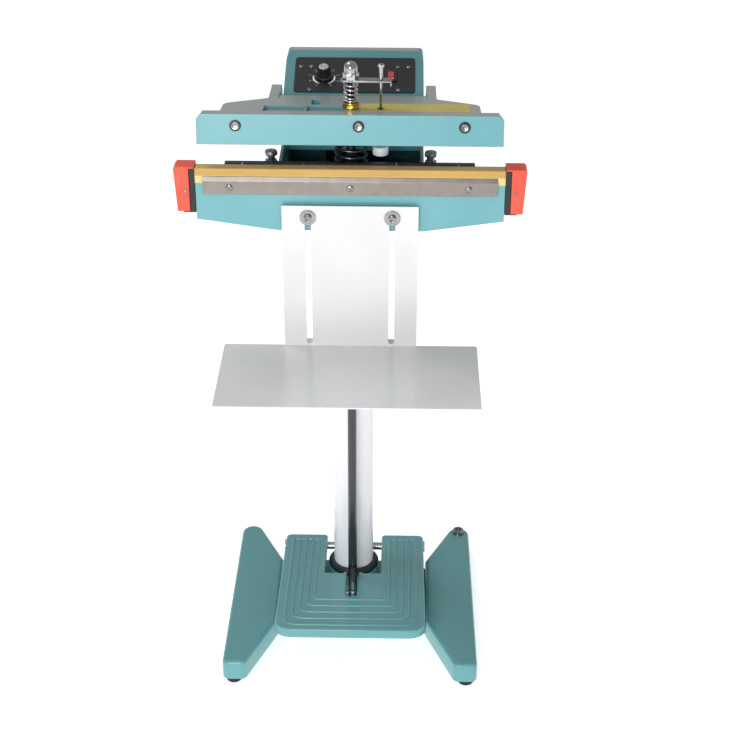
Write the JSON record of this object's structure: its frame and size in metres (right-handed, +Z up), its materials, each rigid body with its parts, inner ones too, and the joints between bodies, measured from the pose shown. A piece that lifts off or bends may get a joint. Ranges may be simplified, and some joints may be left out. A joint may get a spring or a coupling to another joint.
{
  "type": "impulse heat sealer",
  "caption": "Foot-operated impulse heat sealer on a column stand, with a hinged upper jaw, a pull rod, a pedal, a sliding table and a sloped control panel.",
  "frame": {"origin": "on the floor, under the middle of the overall box", "axes": "+Z up, +X to the right seen from the front, -Y out of the front towards the operator"},
  "size_m": [0.455, 0.467, 0.8796],
  "materials": {
    "base_paint": "satin painted casting",
    "wing_paint_left": "satin painted casting",
    "wing_paint_right": "satin painted casting",
    "bolt_black": "blackened steel",
    "foot_rubber": "matt rubber",
    "bolt_zinc": "zinc plated steel",
    "column_paint": "gloss white powder coat",
    "collar_plastic": "matt black",
    "set_screw_steel": "blackened steel",
    "shaft_steel": "ground steel",
    "head_paint": "satin painted casting",
    "heater_aluminium": "milled",
    "ribbon_nichrome": "bright ribbon",
    "tape_white": "glass cloth tape",
    "cloth_ptfe": "PTFE coated glass cloth",
    "strip_stainless": "brushed stainless",
    "screw_zinc": "zinc plated",
    "strip_phenolic": "black phenolic",
    "insulator_phenolic": "black phenolic",
    "terminal_brass": "turned brass",
    "cap_red_left": "satin red plastic",
    "cap_red_right": "satin red plastic",
    "cap_screw_zinc": "zinc plated",
    "hinge_steel": "ground steel",
    "stop_black": "blackened steel",
    "spring_black": "oiled spring steel",
    "panel_black": "matt black printed plate",
    "panel_screw_zinc": "zinc plated",
    "bezel_black": "matt black",
    "rear_sheet": "matt grey sheet",
    "cover_screw_zinc": "zinc plated",
    "transformer_core": "lacquered laminations and winding",
    "board_green": "circuit board",
    "pot_steel": "pressed case",
    "microswitch_black": "moulded case",
    "inlet_black": "moulded gland",
    "table_screw_steel": "dark zinc",
    "arm_paint": "satin painted casting",
    "holder_aluminium": "extruded",
    "pad_silicone": "silicone rubber",
    "bar_screw_zinc": "bright zinc",
    "ring_black": "matt black",
    "label_yellow": "plain yellow label",
    "seat_brass": "turned brass",
    "bush_brass": "turned brass",
    "rod_black": "black lacquered steel",
    "fork_steel": "blackened steel",
    "spring_bright": "bright spring steel",
    "trip_steel": "bright zinc",
    "nut_chrome": "chrome plated",
    "pin_chrome": "bright steel",
    "tip_nylon": "natural nylon",
    "pedal_paint": "satin painted casting",
    "pedal_bush_brass": "turned brass",
    "fork_pin_steel": "ground steel",
    "table_paint": "gloss white powder coat",
    "table_back_paint": "gloss white powder coat",
    "knob_black": "black phenolic with bright cap",
    "rocker_red": "gloss red"
  },
  "bodies": {
    "stand": {"base_beam": "base_paint", "left_wing": "wing_paint_left", "right_wing": "wing_paint_right", "wing_bolts": "bolt_black", "rubber_feet": "foot_rubber", "levelling_bolt": "bolt_zinc", "column": "column_paint", "column_collar": "collar_plastic", "column_screws": "set_screw_steel", "pedal_shaft": "shaft_steel", "jaw_body": "head_paint", "heater_bar": "heater_aluminium", "heating_ribbon": "ribbon_nichrome", "underlay_tape": "tape_white", "cover_cloth": "cloth_ptfe", "clamp_strip": "strip_stainless", "strip_screws": "screw_zinc", "rear_strip": "strip_phenolic", "end_insulators": "insulator_phenolic", "terminal_blocks": "terminal_brass", "left_cap": "cap_red_left", "right_cap": "cap_red_right", "cap_screws": "cap_screw_zinc", "hinge_shaft": "hinge_steel", "stop_bolts": "stop_black", "return_spring": "spring_black", "control_panel": "panel_black", "panel_screws": "panel_screw_zinc", "switch_bezel": "bezel_black", "rear_cover": "rear_sheet", "cover_screws": "cover_screw_zinc", "transformer": "transformer_core", "timer_board": "board_green", "potentiometer": "pot_steel", "microswitch": "microswitch_black", "cord_inlet": "inlet_black", "table_screws": "table_screw_steel"},
    "arm": {"upper_arm": "arm_paint", "pad_holder": "holder_aluminium", "silicone_pad": "pad_silicone", "bar_screws": "bar_screw_zinc", "screw_rings": "ring_black", "label_strip": "label_yellow", "spring_seat": "seat_brass", "hinge_bushes": "bush_brass"},
    "rod": {"pull_rod": "rod_black", "rod_fork": "fork_steel", "pressure_spring": "spring_bright", "trip_plate": "trip_steel", "dome_nut": "nut_chrome", "trip_pin": "pin_chrome", "trip_tip": "tip_nylon"},
    "pedal": {"pedal": "pedal_paint", "pedal_bushes": "pedal_bush_brass", "fork_pin": "fork_pin_steel"},
    "table": {"table_top": "table_paint", "table_back": "table_back_paint"},
    "knob": {"knob": "knob_black"},
    "rocker": {"rocker": "rocker_red"}
  },
  "joints": [
    {"name": "pedal_press", "type": "hinge", "parent": "stand", "child": "pedal", "pos_m": [0, 0.10509, 0.047], "axis": [1, 0, 0], "range_deg": [0, 13.3], "stiffness_Nm_per_rad": 25, "springref_deg": -22.92},
    {"name": "arm_close", "type": "hinge", "parent": "stand", "child": "arm", "pos_m": [0, 0.12309, 0.78], "axis": [1, 0, 0], "range_deg": [0, 9.6], "deforming": ["return_spring"]},
    {"name": "rod_pull", "type": "slide", "parent": "stand", "child": "rod", "axis": [0, 0, -1], "range_m": [0, 0.0272], "deforming": ["pressure_spring"]},
    {"name": "table_height", "type": "slide", "parent": "stand", "child": "table", "axis": [0, 0, 1], "range_m": [0, 0.16]},
    {"name": "knob_turn", "type": "hinge", "parent": "stand", "child": "knob", "pos_m": [-0.0415, 0.14219, 0.80375], "axis": [0, -0.309, 0.9511], "range_deg": [-135, 135]},
    {"name": "rocker_tip", "type": "hinge", "parent": "stand", "child": "rocker", "pos_m": [0.0505, 0.1463, 0.80404], "axis": [1, 0, 0], "range_deg": [0, 16]}
  ],
  "couplings": [
    {"joint": "arm_close", "follows": "pedal_press", "ratio": 0.71805},
    {"joint": "rod_pull", "follows": "pedal_press", "m_per_rad": 0.11696}
  ]
}
